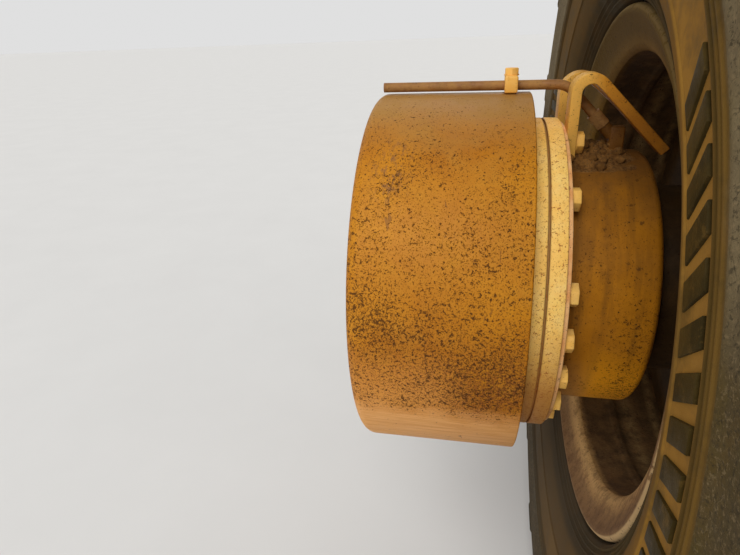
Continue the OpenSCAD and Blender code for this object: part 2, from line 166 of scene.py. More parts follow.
class Finish:
    # one material, with the few kinds of node that the finishes share
    def __init__(self, name, specular=0.45, metallic=0.0):
        self.material = bpy.data.materials.new(name)
        self.material.use_nodes = True
        self.nodes = self.material.node_tree.nodes
        self.links = self.material.node_tree.links
        self.shader = self.nodes["Principled BSDF"]
        self.shader.inputs["Metallic"].default_value = metallic
        self.shader.inputs["Specular IOR Level"].default_value = specular
        self.place = self.add("ShaderNodeTexCoord").outputs["Object"]
        parts = self.add("ShaderNodeSeparateXYZ", {"Vector": self.place}).outputs
        self.x, self.y, self.z = parts[0], parts[1], parts[2]

    def feed(self, socket, value):
        if isinstance(value, bpy.types.NodeSocket):
            self.links.new(value, socket)
        else:
            socket.default_value = value

    def add(self, kind, values=None, **settings):
        node = self.nodes.new(kind)
        for key, value in settings.items():
            setattr(node, key, value)
        for key, value in (values or {}).items():
            self.feed(node.inputs[key], value)
        return node

    def noise(self, scale, detail=3, rough=0.55, stretch=None, warp=0.0, shift=(0, 0, 0)):
        where = self.place
        if stretch or shift != (0, 0, 0):
            where = self.add("ShaderNodeMapping", {
                "Vector": where, "Location": shift, "Scale": stretch or (1, 1, 1)}).outputs[0]
        return self.add("ShaderNodeTexNoise", {
            "Vector": where, "Scale": scale, "Detail": detail,
            "Roughness": rough, "Distortion": warp}).outputs[0]

    def cells(self, scale, stretch=None, feature="F1"):
        where = self.place
        if stretch:
            where = self.add("ShaderNodeMapping", {"Vector": where, "Scale": stretch}).outputs[0]
        return self.add("ShaderNodeTexVoronoi", {"Vector": where, "Scale": scale},
                        feature=feature).outputs[0]

    def band(self, value, low, high, fromValue=0.0, toValue=1.0):
        return self.add("ShaderNodeMapRange", {
            "Value": value, "From Min": low, "From Max": high,
            "To Min": fromValue, "To Max": toValue}).outputs[0]

    def calc(self, operation, first, second=0.0):
        return self.add("ShaderNodeMath", {0: first, 1: second}, operation=operation).outputs[0]

    def plus(self, first, second):
        return self.calc("ADD", first, second)

    def times(self, first, second):
        return self.calc("MULTIPLY", first, second)

    def mix(self, factor, first, second):
        node = self.nodes.new("ShaderNodeMix")
        node.data_type = "RGBA"
        self.feed(node.inputs[0], factor)
        self.feed(node.inputs[6], first)
        self.feed(node.inputs[7], second)
        return node.outputs[2]

    def layer(self, tone, where, amount, coat):
        # lays a coat over the tone, by so much where it lies
        return self.mix(self.times(where, amount), tone, coat)

    def wavy(self, value, scale, amount, detail=4, rough=0.55):
        # a coordinate that wanders a little, so that a zone's edge isn't a straight line
        return self.plus(value, self.times(self.noise(scale, detail, rough), amount))

    def away(self, value, centre):
        return self.calc("ABSOLUTE", self.plus(value, -centre))

    def clouds(self, values, low, high, first, second):
        # two colours in soft patches; values are the noise's scale, detail and roughness
        return self.mix(self.band(self.noise(*values), low, high), first, second)

    def radius(self):
        # distance from the axle
        return self.calc("SQRT", self.plus(self.times(self.y, self.y), self.times(self.z, self.z)))

    def near(self, centre, size, soft=0.5):
        # 1 inside an oval place and 0 outside it, with a soft edge
        moved = self.add("ShaderNodeMapping", {
            "Vector": self.place,
            "Location": tuple(-c / s for c, s in zip(centre, size)),
            "Scale": tuple(1 / s for s in size)}).outputs[0]
        far = self.add("ShaderNodeVectorMath", {0: moved}, operation="LENGTH").outputs["Value"]
        return self.band(far, 1, 1 - soft)

    def steps(self, value, stops):
        # a colour for each value, blended between
        ramp = self.add("ShaderNodeValToRGB", {"Fac": value}).color_ramp
        while len(ramp.elements) < len(stops):
            ramp.elements.new(0.5)
        for element, (at, tone) in zip(ramp.elements, stops):
            element.position = at
            element.color = tone
        return self.nodes[-1].outputs[0]

    def done(self, tone, rough, height=None, depth=0.0005, strength=1.0):
        self.feed(self.shader.inputs["Base Color"], tone)
        self.feed(self.shader.inputs["Roughness"], rough)
        if height is not None:
            bump = self.add("ShaderNodeBump", {
                "Strength": strength, "Distance": depth, "Height": height})
            self.links.new(bump.outputs[0], self.shader.inputs["Normal"])
        return self.material


makeCamera(cameraPlace)
makeStudio(studio)
print("camera and studio ready")

# fresh, deep and faded are the yellow paint's darker colours in shade: painted shade, which the
# drum and the mounting flange keep
paintLook = {
    "fresh": colour(198, 131, 24),
    "deep": colour(171, 104, 16),
    "faded": colour(187, 130, 48),
    "speck": colour(56, 30, 14),
    "cloudScale": 7,
    "speckScale": 290,
    "speckFrom": 0.635,
    "crowding": 0.05,
    "fading": 0.4,
    "rough": 0.6,
    "shine": 0.18,
}


def agedPaint(name, changes=None, zones=None):
    # yellow machine paint with dark grime in its pits, faded and dusty in clouds
    look = dict(paintLook, **(changes or {}))
    f = Finish(name, specular=look["shine"])
    tone = f.clouds((look["cloudScale"], 4, 0.6), 0.35, 0.65, look["deep"], look["fresh"])
    fade = f.band(f.noise(look["cloudScale"] * 3.1, 5, 0.65), 0.48, 0.7)
    tone = f.layer(tone, fade, look["fading"], look["faded"])
    mottle = f.band(f.noise(170, 4, 0.7, shift=(2, 6, 1)), 0.42, 0.62)
    tone = f.layer(tone, mottle, 0.35, look["deep"])
    crowd = f.band(f.noise(17, 4, 0.65, shift=(3, 1, 2)), 0.35, 0.68)
    lift = f.times(crowd, look["crowding"])
    if zones:
        tone, lift = zones(f, tone, lift)
    large = f.plus(f.noise(look["speckScale"], 3, 0.7), lift)
    small = f.plus(f.noise(look["speckScale"] * 2.1, 3, 0.7, shift=(5, 5, 1)), lift)
    large = f.band(large, look["speckFrom"], look["speckFrom"] + 0.035)
    small = f.band(small, look["speckFrom"] - 0.005, look["speckFrom"] + 0.045)
    grime = f.calc("MAXIMUM", f.times(large, 0.85), f.times(small, 0.7))
    tone = f.mix(grime, tone, look["speck"])
    dull = f.plus(grime, f.times(fade, 0.5))
    rough = f.band(dull, 0, 1, look["rough"] - 0.08, look["rough"] + 0.3)
    height = f.plus(f.times(f.noise(260, 2, 0.5), 0.35), f.times(grime, -0.5))
    return f.done(tone, rough, height, 0.0006, 0.7)


def drumZones(f, tone, lift):
    # the top is dusty, the middle is speckled, below it is rusty, with painted orange light on the
    # lower left, and the bottom is caked pale dust, painted lighter still for the shade on its
    # downward face
    level = f.wavy(f.z, 22, 0.04)
    top = f.band(level, 0.215, 0.262)
    tone = f.layer(tone, top, 0.7, colour(158, 122, 66))
    grain = f.band(f.noise(290, 4, 0.75, shift=(1, 1, 7)), 0.44, 0.56)
    rusty = f.times(f.band(level, 0.075, -0.01), grain)
    tone = f.layer(tone, rusty, 0.55, colour(156, 86, 26))
    deepRust = f.times(f.near((0.20, -0.235, -0.03), (0.05, 0.06, 0.045), 0.7), grain)
    tone = f.layer(tone, deepRust, 0.6, colour(104, 56, 22))
    lines = f.band(f.noise(340, 3, 0.6, stretch=(0.05, 1, 1)), 0.35, 0.65)
    low = f.band(level, -0.052, -0.084)
    # pale caked dust, painted lighter to make up for the shade on the downward face
    cakedDustAndLight = f.mix(lines, colour(214, 150, 80), colour(236, 176, 108))
    # painted light: the lower left is a paler orange, for the orange light that falls there
    paintedWarmLight = f.times(f.band(level, 0.03, -0.04), f.band(f.x, 0.17, 0.12))
    tone = f.layer(tone, paintedWarmLight, 0.5, colour(232, 160, 78))
    tone = f.layer(tone, low, 0.85, cakedDustAndLight)
    scuffs = f.near((0.068, -0.16, 0.185), (0.03, 0.07, 0.06), 0.7)
    scuffs = f.times(scuffs, f.band(f.noise(110, 5, 0.75, stretch=(1, 0.5, 0.5)), 0.5, 0.6))
    tone = f.layer(tone, scuffs, 0.65, colour(104, 74, 58))
    scratch = f.band(f.noise(200, 2, 0.5, stretch=(0.5, 0.16, 0.16), warp=1.2), 0.7, 0.73)
    tone = f.layer(tone, scratch, 0.5, colour(92, 56, 28))
    leftward = f.band(f.x, 0.15, 0.05)
    stained = f.near((0.055, -0.24, 0.03), (0.05, 0.06, 0.05), 0.8)
    lift = f.plus(lift, f.plus(f.times(leftward, 0.018), f.times(stained, 0.045)))
    lift = f.plus(lift, f.times(f.band(f.z, 0.16, 0.05), 0.02))
    lift = f.plus(lift, f.times(f.near((0.18, -0.24, -0.03), (0.09, 0.06, 0.075), 0.6), 0.05))
    return tone, f.plus(lift, f.plus(f.times(top, -0.05), f.times(low, -0.12)))


def guardZones(f, tone, lift):
    # the upright hooks are painted pale for sunlight over dust, the long legs are browner with the
    # paint's shaded colours
    # painted sunlight on the upright hooks, over dust
    upright = f.band(f.wavy(f.x, 30, 0.02), 0.312, 0.292)
    return f.layer(tone, upright, 0.65, colour(246, 192, 92)), lift


def ringZones(f, tone, lift):
    # dirt sits in the groove and along the edges, and the lower part is painted browner for shade
    groove = f.band(f.away(f.x, 0.239), 0.0026, 0.0012)
    tone = f.layer(tone, groove, 0.8, colour(128, 84, 44))
    edge = f.band(f.away(f.x, 0.222), 0.0022, 0.0008)
    tone = f.layer(tone, edge, 0.7, colour(110, 74, 40))
    # painted shade: the lower part is browner
    low = f.band(f.wavy(f.z, 30, 0.03), 0.04, -0.05)
    tone = f.layer(tone, low, 0.8, colour(172, 108, 42))
    return tone, f.plus(lift, f.times(low, 0.02))


def smallDrumZones(f, tone, lift):
    # brown dust with painted shade by the flange, brown dust under the mud, stains that run down,
    # painted sunlight on the flange's rim, painted light low on the right, specks at the low end
    # painted shade with brown dust, next to the flange and its bolts
    dustAndShadeByFlange = f.band(f.wavy(f.x, 18, 0.05), 0.322, 0.288)
    tone = f.layer(tone, dustAndShadeByFlange, 0.5, colour(116, 76, 34))
    streaks = f.band(f.noise(60, 4, 0.6, stretch=(1, 0.1, 0.1)), 0.5, 0.62)
    tone = f.layer(tone, streaks, 0.4, colour(104, 66, 22))
    stain = f.band(f.away(f.wavy(f.x, 26, 0.012), 0.311), 0.009, 0.001)
    stain = f.times(stain, f.band(f.noise(24, 4, 0.7), 0.4, 0.6))
    tone = f.layer(tone, stain, 0.4, colour(86, 54, 20))
    top = f.band(f.wavy(f.z, 35, 0.07, 5, 0.7), 0.15, 0.205)
    tone = f.layer(tone, top, 0.8, colour(98, 64, 30))
    # the thin flange's rim: pale dust with painted sunlight
    flange = f.band(f.radius(), 0.200, 0.206)
    dustedAndLit = f.clouds((45, 4), 0.35, 0.65, colour(226, 160, 96), colour(240, 190, 130))
    tone = f.mix(flange, tone, dustedAndLit)
    level = f.wavy(f.z, 14, 0.05)
    # painted light: the lower right is a brighter orange
    paintedLowLight = f.times(f.band(level, 0.01, -0.05), f.band(f.x, 0.29, 0.31))
    tone = f.layer(tone, paintedLowLight, 0.8, colour(236, 156, 20))
    low = f.times(f.band(level, -0.02, -0.08), f.band(f.x, 0.315, 0.295))
    tone = f.layer(tone, low, 0.5, colour(190, 136, 74))
    blots = f.band(f.noise(95, 4, 0.75), 0.62, 0.67)
    tone = f.layer(tone, blots, 0.65, colour(66, 38, 12))
    crowded = f.times(f.band(f.z, 0.09, -0.02), f.band(f.x, 0.31, 0.34))
    return tone, f.plus(lift, f.times(crowded, 0.07))


steelLook = {"metallic": 0.0, "shine": 0.35, "rough": 0.5, "cloudScale": 30, "dustScale": 55,
             "dustAmount": 0.6, "pitScale": 380, "pitDepth": 0.0008}


def dustySteel(name, changes):
    # bare or rusty steel under dust
    look = dict(steelLook, **changes)
    f = Finish(name, specular=look["shine"], metallic=look["metallic"])
    tone = f.clouds((look["cloudScale"], 5, 0.65), 0.35, 0.66, look["dark"], look["base"])
    dust = f.band(f.noise(look["dustScale"], 5, 0.7, shift=(1, 4, 2)), 0.42, 0.62)
    tone = f.layer(tone, dust, look["dustAmount"], look["dust"])
    pits = f.band(f.noise(look["pitScale"], 3, 0.7), 0.6, 0.7)
    tone = f.layer(tone, pits, 0.6, look["pit"])
    rough = f.band(dust, 0, 1, look["rough"], 0.9)
    height = f.plus(f.times(f.noise(240, 4, 0.6), 0.6), f.times(pits, -0.5))
    return f.done(tone, rough, height, look["pitDepth"], 0.7)


def wheelZones(f, tone, lift):
    # the side that faces the drum is dark with old dirt and painted shade
    dirtAndShade = f.band(f.wavy(f.x, 30, 0.012), 0.524, 0.512)
    dark = f.clouds((26, 5, 0.7), 0.4, 0.6, colour(30, 21, 12), colour(58, 41, 22))
    return f.layer(tone, dirtAndShade, 0.92, dark), lift


def rimFinish():
    # worn pale lip, painted paler at the bottom than at the top for light and shade, brown cone
    # with a sandy inner edge and painted shade over the top, gritty dark well with two dust bands
    f = Finish("dustyRim", specular=0.22)
    radius = f.wavy(f.radius(), 36, 0.007, 4, 0.65)
    cone = f.steps(f.band(radius, 0.288, 0.347), [
        (0.00, colour(172, 134, 80)), (0.18, colour(196, 156, 98)), (0.34, colour(174, 134, 82)),
        (0.50, colour(138, 104, 64)), (0.84, colour(124, 92, 58)), (1.00, colour(150, 114, 70))])
    stain = f.band(f.noise(52, 5, 0.75, shift=(7, 1, 3)), 0.47, 0.6)
    cone = f.layer(cone, stain, 0.55, colour(92, 62, 38))
    # painted shade: the top of the rim is a dark olive brown
    high = f.band(f.wavy(f.z, 9, 0.1, 3), 0.02, 0.2)
    paintedTopShade = f.steps(f.band(radius, 0.288, 0.347), [
        (0.00, colour(118, 86, 18)), (0.20, colour(110, 80, 18)), (0.45, colour(86, 64, 12)),
        (0.85, colour(90, 68, 12)), (1.00, colour(106, 82, 24))])
    tone = f.layer(cone, high, 0.9, paintedTopShade)
    # painted light and shade: the worn pale lip shows strongly at the bottom and faintly at the top
    lip = f.times(f.band(f.radius(), 0.3355, 0.3372), f.band(f.noise(60, 3, 0.6), 0.37, 0.42))
    worn = f.band(f.wavy(f.z, 20, 0.06, 3), 0.12, -0.02, 0.12, 0.8)
    tone = f.layer(tone, lip, worn, colour(206, 172, 122))
    well = f.band(f.noise(28, 5, 0.7, shift=(2, 2, 2)), 0.4, 0.6)
    well = f.mix(well, colour(80, 58, 32), colour(116, 86, 50))
    for at, width in ((0.427, 0.008), (0.466, 0.005)):
        ring = f.band(f.away(f.x, at), width * 1.7, width * 0.3)
        ring = f.times(ring, f.band(f.noise(60, 4, 0.7), 0.35, 0.6))
        well = f.layer(well, ring, 0.75, colour(170, 136, 86))
    inward = f.band(f.wavy(f.x, 70, 0.01, 4, 0.7), 0.356, 0.365)
    tone = f.mix(inward, tone, well)
    specks = f.band(f.noise(280, 3, 0.7), 0.6, 0.65)
    tone = f.layer(tone, specks, 0.6, colour(42, 30, 18))
    crumbs = f.band(f.cells(150), 0.24, 0.1)
    grit = f.times(f.times(crumbs, inward), f.band(f.noise(40, 3), 0.45, 0.6))
    tone = f.layer(tone, grit, 0.5, colour(128, 98, 62))
    height = f.plus(f.noise(230, 5, 0.65), f.times(grit, 1.4))
    return f.done(tone, 0.9, height, 0.0014, 0.85)


def tyreFinish(name, raised=False, lug=False):
    # dark rubber with painted shade in the crevice by the rim, dust round the raised bars painted
    # orange for reflected sunlight, brown grey with dirt towards the tread, painted sunlight at the
    # top, painted shade low down and on the far side
    f = Finish(name, specular=0.08)
    radius = f.band(f.radius(), 0.30, 0.70)
    low = f.band(f.wavy(f.z, 6, 0.12, 3), -0.10, -0.30)
    high = f.band(f.wavy(f.z, 12, 0.1), 0.18, 0.26)
    if raised:
        tone = f.clouds((24, 4, 0.65), 0.4, 0.7, colour(50, 40, 14), colour(74, 58, 22))
        worn = f.band(f.noise(70, 4, 0.7), 0.58, 0.68)
        tone = f.layer(tone, worn, 0.4, colour(116, 88, 40))
        rough = f.band(f.noise(60, 3), 0.3, 0.7, 0.5, 0.7)
    else:
        # painted shade: the darkest rubber lies in the crevice by the rim's lip; the orange round
        # the raised bars is dust with painted reflected sunlight
        tone = f.steps(radius, [
            (0.00, colour(38, 30, 18)), (0.11, colour(48, 38, 20)), (0.125, colour(70, 58, 34)),
            (0.18, colour(66, 53, 29)), (0.20, colour(120, 89, 40)), (0.27, colour(128, 93, 38)),
            (0.29, colour(160, 118, 50)), (0.41, colour(154, 113, 50)), (0.425, colour(78, 60, 26)),
            (0.46, colour(116, 88, 40)), (0.485, colour(84, 70, 36)), (0.74, colour(80, 71, 52)),
            (0.90, colour(72, 62, 49)), (1.00, colour(64, 56, 46))])
        # painted shade: the far side of the tyre is darker
        paintedFarShade = f.band(f.wavy(f.y, 8, 0.12), -0.04, 0.16)
        tone = f.layer(tone, paintedFarShade, 0.72, colour(60, 51, 34))
        streak = f.band(f.noise(20, 5, 0.7, shift=(4, 0, 1)), 0.38, 0.66)
        tone = f.layer(tone, streak, 0.25, colour(116, 82, 34))
        bare = f.band(f.noise(11, 5, 0.7, shift=(0, 3, 5)), 0.5, 0.64)
        tone = f.layer(tone, bare, 0.5, colour(60, 50, 26))
        # painted shade: the sidewall is greyer and darker low down
        tone = f.layer(tone, low, 0.7, colour(70, 62, 50))
        rough = f.band(bare, 0, 1, 0.92, 0.72)
    outer = f.band(f.wavy(f.radius(), 25, 0.02), 0.494, 0.51)
    # painted sunlight over grey dust: the top of the outer sidewall is lighter
    tone = f.layer(tone, f.times(outer, high), 0.75, colour(136, 120, 90))
    patches = f.band(f.noise(8, 6, 0.7, shift=(6, 2, 4)), 0.44, 0.6)
    tone = f.layer(tone, f.times(outer, patches), 0.5, colour(82, 71, 55))
    clods = f.band(f.noise(330, 4, 0.75), 0.53, 0.62)
    tone = f.layer(tone, f.times(outer, clods), 0.5, colour(138, 118, 86))
    dark = f.band(f.noise(230, 4, 0.75, shift=(3, 3, 3)), 0.54, 0.6)
    tone = f.layer(tone, f.times(outer, dark), 0.65, colour(56, 49, 36))
    if lug:
        # the lugs' tops are rubbed clean
        top = f.band(f.radius(), 0.668, 0.676)
        top = f.times(top, f.band(f.noise(30, 5, 0.7), 0.3, 0.55, 0.5, 0.92))
        tone = f.mix(top, tone, colour(62, 57, 51))
    elif not raised:
        # dirt is packed between the lugs
        base = f.band(f.radius(), 0.64, 0.655)
        base = f.times(base, f.band(f.noise(22, 5, 0.7, shift=(1, 9, 1)), 0.4, 0.6))
        tone = f.layer(tone, base, 0.6, colour(126, 104, 74))
    cracks = f.band(f.cells(60, feature="DISTANCE_TO_EDGE"), 0.02, 0.0)
    height = f.plus(f.times(f.noise(420, 4, 0.65), 0.6), f.times(f.times(outer, cracks), -0.4))
    height = f.plus(height, f.times(f.times(outer, f.noise(120, 5, 0.7)), 1.6))
    return f.done(tone, rough, height, 0.0012, 0.7)


def mudFinish():
    f = Finish("driedMud", specular=0.2)
    tone = f.clouds((60, 5, 0.7), 0.35, 0.65, colour(94, 60, 23), colour(142, 98, 46))
    grit = f.band(f.cells(230), 0.28, 0.14)
    tone = f.layer(tone, grit, 0.4, colour(156, 122, 78))
    deep = f.band(f.noise(170, 4, 0.7), 0.56, 0.66)
    tone = f.layer(tone, deep, 0.6, colour(56, 36, 18))
    return f.done(tone, 0.95, f.plus(f.noise(210, 6, 0.75), f.times(grit, 0.6)), 0.003, 0.9)


drumPaint = agedPaint("drumPaint", {"speckFrom": 0.616}, drumZones)
# the rings carry the yellow paint, painted paler for sunlight, with pale dust
sunlitRingPaint = agedPaint("sunlitRingPaint", {
    "fresh": colour(255, 214, 118), "deep": colour(250, 190, 86), "faded": colour(255, 222, 156),
    "speck": colour(168, 96, 46), "speckFrom": 0.615, "crowding": 0.03}, ringZones)
# the small drum's yellow paint is painted a little darker for shade
smallDrumPaint = agedPaint("smallDrumPaint", {
    "fresh": colour(190, 122, 20), "deep": colour(158, 98, 14), "faded": colour(164, 108, 36),
    "speck": colour(58, 32, 10), "speckFrom": 0.66, "fading": 0.35}, smallDrumZones)
# the bolts carry the yellow paint, painted paler for sunlight, with tan dust
sunlitBoltPaint = agedPaint("sunlitBoltPaint", {
    "fresh": colour(255, 206, 108), "deep": colour(236, 174, 74), "faded": colour(246, 202, 140),
    "speck": colour(150, 90, 44), "speckFrom": 0.66, "crowding": 0.03})
# the guard bars' paint is browner, painted for shade
guardPaint = agedPaint("guardPaint", {
    "fresh": colour(214, 146, 42), "deep": colour(170, 106, 28), "faded": colour(148, 96, 40),
    "fading": 0.7, "speckFrom": 0.65}, guardZones)
hubPaint = agedPaint("hubPaint", {
    "fresh": colour(186, 130, 48), "deep": colour(146, 98, 38), "faded": colour(156, 118, 70),
    "fading": 0.8, "speckFrom": 0.65}, wheelZones)
discPaint = agedPaint("discPaint", {
    "fresh": colour(190, 134, 50), "deep": colour(150, 102, 40), "faded": colour(160, 122, 72),
    "fading": 0.9, "speckFrom": 0.65}, wheelZones)
elbowPaint = agedPaint("elbowPaint", {
    "fresh": colour(138, 88, 28), "deep": colour(104, 65, 22), "faded": colour(112, 77, 36),
    "fading": 0.8, "speckFrom": 0.64})
flangePaint = agedPaint("thickFlangePaint", {"speckFrom": 0.67})
lineSteel = dustySteel("rustyLine", {
    "dark": colour(120, 76, 34), "base": colour(164, 112, 54), "dust": colour(170, 128, 72),
    "pit": colour(70, 42, 20)})
studSteel = dustySteel("studSteel", {
    "dark": colour(62, 56, 50), "base": colour(92, 84, 74), "dust": colour(128, 106, 76),
    "pit": colour(40, 34, 28), "metallic": 0.4, "dustAmount": 0.5})
axleSteel = dustySteel("axleSteel", {
    "dark": colour(74, 70, 66), "base": colour(112, 106, 98), "dust": colour(130, 110, 84),
    "pit": colour(48, 42, 36), "metallic": 0.6, "dustAmount": 0.35})
ringSteel = dustySteel("lockRingSteel", {
    "dark": colour(84, 56, 34), "base": colour(118, 84, 52), "dust": colour(148, 118, 78),
    "pit": colour(50, 34, 22)})
valveBrass = dustySteel("valveBrass", {
    "dark": colour(122, 92, 42), "base": colour(160, 124, 62), "dust": colour(132, 106, 70),
    "pit": colour(70, 52, 28), "metallic": 0.6, "dustAmount": 0.4})
mud = mudFinish()
rimPaint = rimFinish()
dustyRubber = tyreFinish("dustyRubber")
cleanRubber = tyreFinish("cleanRubber", raised=True)
lugRubber = tyreFinish("lugRubber", lug=True)
print("finishes ready")


def soften(bm, edges, size, segments=3):
    # rounds edges, with a size in millimetres
    bmesh.ops.bevel(bm, geom=edges, offset=size * mm, segments=segments, profile=0.5,
                    affect="EDGES", material=-1)


def only(kind, geometry):
    return [g for g in geometry if isinstance(g, kind)]


def extrudeEnd(bm, faces, vec):
    made = bmesh.ops.extrude_face_region(bm, geom=faces)["geom"]
    bmesh.ops.translate(bm, verts=only(bmesh.types.BMVert, made), vec=vec)
    return only(bmesh.types.BMFace, made)


def bendDown(bm, end, centre, angle, steps, slope, leg):
    # turns a bar's end down about centre, (x, z), then runs it on straight and closes the shape
    turned = bmesh.ops.spin(bm, geom=end, cent=(centre[0] * mm, 0, centre[1] * mm),
                            axis=(0, 1, 0), angle=math.radians(angle), steps=steps)
    bmesh.ops.delete(bm, geom=end, context="FACES_ONLY")
    end = only(bmesh.types.BMFace, turned["geom_last"])
    slope = math.radians(slope)
    extrudeEnd(bm, end, (leg * mm * math.cos(slope), 0, -leg * mm * math.sin(slope)))
    bmesh.ops.delete(bm, geom=end, context="FACES_ONLY")
    bmesh.ops.remove_doubles(bm, verts=bm.verts, dist=tiny)
    bmesh.ops.recalc_face_normals(bm, faces=bm.faces)


def lathe(points, steps=192, closed=False):
    # spins a profile of (x, radius) or (x, radius, round) in millimetres about the axle
    bm = bmesh.new()
    verts = [bm.verts.new((p[0] * mm, 0, p[1] * mm)) for p in points]
    pairs = list(zip(verts, verts[1:])) + ([(verts[-1], verts[0])] if closed else [])
    edges = [bm.edges.new(pair) for pair in pairs]
    bmesh.ops.spin(bm, geom=verts + edges, cent=(0, 0, 0), axis=(1, 0, 0),
                   angle=2 * math.pi, steps=steps, use_merge=True)
    bmesh.ops.remove_doubles(bm, verts=bm.verts, dist=0.000002)
    bmesh.ops.recalc_face_normals(bm, faces=bm.faces)
    for size in sorted({p[2] for p in points if len(p) > 2}):
        rings = [(p[0] * mm, p[1] * mm) for p in points if len(p) > 2 and p[2] == size]
        chosen = [e for e in bm.edges if all(onRing(v, rings) for v in e.verts)
                  and abs(e.verts[0].co.x - e.verts[1].co.x) < tiny]
        soften(bm, chosen, size, 3 if size < 5 else 7)
    return bm


def onRing(vert, rings):
    far = math.hypot(vert.co.y, vert.co.z)
    return any(abs(vert.co.x - x) < tiny and abs(far - r) < tiny for x, r in rings)


def finishPiece(name, bm, body, finishes, nodes=(), sharp=32):
    mesh = bpy.data.meshes.new(name)
    bm.to_mesh(mesh)
    bm.free()
    for finish in finishes:
        mesh.materials.append(finish)
    mesh.shade_smooth()
    mesh.set_sharp_from_angle(angle=math.radians(sharp))
    piece = bpy.data.objects.new(name, mesh)
    scene.collection.objects.link(piece)
    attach(piece, body)
    if nodes:
        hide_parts(*nodes)
    return piece


def addCopies(target, source, places):
    # adds the shape in source to target once for each matrix, and keeps source
    for place in places:
        shape = bpy.data.meshes.new("copied")
        source.to_mesh(shape)
        shape.transform(place)
        target.from_mesh(shape)
        bpy.data.meshes.remove(shape)
    return target


def clock(angle):
    # a turn about the axle, from the top towards the camera's side
    return Matrix.Rotation(math.radians(angle), 4, "X")


alongAxle = Matrix.Rotation(math.radians(90), 4, "Y")


def headPlace(turn, x, circle):
    # a place on a bolt circle, for a head that stops at any angle of its own
    return (clock(turn) @ Matrix.Translation((x * mm, 0, circle * mm))
            @ Matrix.Rotation(dice.uniform(0, math.pi / 3), 4, "X"))


def hexHead(flats, height, washer=None, washerHeight=1.6, chamfer=1.4):
    # a bolt head that stands on X = 0 and points along +X, with its washer under it
    bm = bmesh.new()
    base = 0
    if washer:
        made = bmesh.ops.create_cone(bm, cap_ends=True, segments=28, radius1=washer * mm,
                                     radius2=washer * mm, depth=washerHeight * mm)
        bmesh.ops.translate(bm, verts=made["verts"], vec=(0, 0, washerHeight * mm / 2))
        base = washerHeight
    tall = (height - base) * mm
    made = bmesh.ops.create_cone(bm, cap_ends=True, segments=6, radius1=flats * mm / math.sqrt(3),
                                 radius2=flats * mm / math.sqrt(3), depth=tall)
    bmesh.ops.translate(bm, verts=made["verts"], vec=(0, 0, base * mm + tall / 2))
    top = [e for e in {e for v in made["verts"] for e in v.link_edges}
           if all(v.co.z > height * mm - tiny for v in e.verts)]
    upright = [e for e in {e for v in made["verts"] for e in v.link_edges}
               if abs(e.verts[0].co.z - e.verts[1].co.z) > tall / 2]
    soften(bm, top, chamfer, 2)
    upright = [e for e in bm.edges if e.is_valid and len(e.link_faces) == 2
               and abs(e.verts[0].co.z - e.verts[1].co.z) > tall * 0.6
               and math.hypot(e.verts[0].co.x, e.verts[0].co.y) > flats * mm * 0.55
               and e.calc_face_angle(0) > 0.6]
    soften(bm, upright, 0.7, 2)
    bmesh.ops.transform(bm, matrix=alongAxle, verts=bm.verts)
    return bm


# fixed side: flange, drums and rings
flangePlate = {"thick": 25, "radius": 120, "pilot": 60, "boltCircle": 98, "hole": 9, "holes": 12}


def makeFlange(d):
    bm = bmesh.new()
    bmesh.ops.create_circle(bm, cap_ends=False, segments=192, radius=d["radius"] * mm)
    bmesh.ops.create_circle(bm, cap_ends=False, segments=96, radius=d["pilot"] * mm)
    for i in range(d["holes"]):
        turn = math.radians((i + 0.5) * 360 / d["holes"])
        hole = bmesh.ops.create_circle(bm, cap_ends=False, segments=32, radius=d["hole"] * mm)
        bmesh.ops.translate(bm, verts=hole["verts"], vec=(
            d["boltCircle"] * mm * math.cos(turn), d["boltCircle"] * mm * math.sin(turn), 0))
    bmesh.ops.triangle_fill(bm, edges=bm.edges, use_beauty=True)
    extrudeEnd(bm, bm.faces[:], (0, 0, d["thick"] * mm))
    bmesh.ops.recalc_face_normals(bm, faces=bm.faces)
    bmesh.ops.transform(bm, matrix=alongAxle, verts=bm.verts)
    return bm


drumShape = [(25, 0), (25, 245, 14), (222, 245, 2), (222, 0)]
innerRingShape = [(222, 0), (222, 212, 1.2), (238, 212, 0.8), (238, 208), (239, 208), (239, 0)]
outerRingShape = [(239, 0), (239, 208), (240, 208), (240, 212, 0.8), (259, 212, 1.5), (259, 0)]
smallDrumShape = [(259, 0), (259, 207, 0.6), (264, 207, 1.2), (264, 171, 2.5), (366, 171, 9),
                  (366, 0)]

finishPiece("mountingPlate", makeFlange(flangePlate), "housing",
            [flangePaint], ["mounting_flange"], 30)
finishPiece("drumShell", lathe(drumShape, 256), "housing",
            [drumPaint], ["drum_housing"], 50)
finishPiece("innerJointRing", lathe(innerRingShape, 256), "housing",
            [sunlitRingPaint], ["inner_joint_ring"], 40)
finishPiece("outerJointRing", lathe(outerRingShape, 256), "housing",
            [sunlitRingPaint], ["outer_joint_ring"], 40)
finishPiece("smallDrumShell", lathe(smallDrumShape, 256), "housing",
            [smallDrumPaint], ["small_drum"], 50)
print("drums and rings ready")

# bolts on the thin flange
flangeBolt = {"flats": 24, "height": 10, "washer": 13.6, "circle": 190, "places": 22,
              "bare": (1, 3), "bars": (0, 20), "from": 264}


def boltClock(place):
    # the top of the flange lies between two places
    return (place + 0.5) * 360 / flangeBolt["places"]


boltBed = bmesh.new()
head = hexHead(flangeBolt["flats"], flangeBolt["height"], flangeBolt["washer"])
taken = flangeBolt["bare"] + flangeBolt["bars"]
addCopies(boltBed, head, [
    headPlace(boltClock(i), flangeBolt["from"], flangeBolt["circle"])
    for i in range(flangeBolt["places"]) if i not in taken])
finishPiece("flangeBoltHeads", boltBed, "housing", [sunlitBoltPaint], ["flange_bolts"])

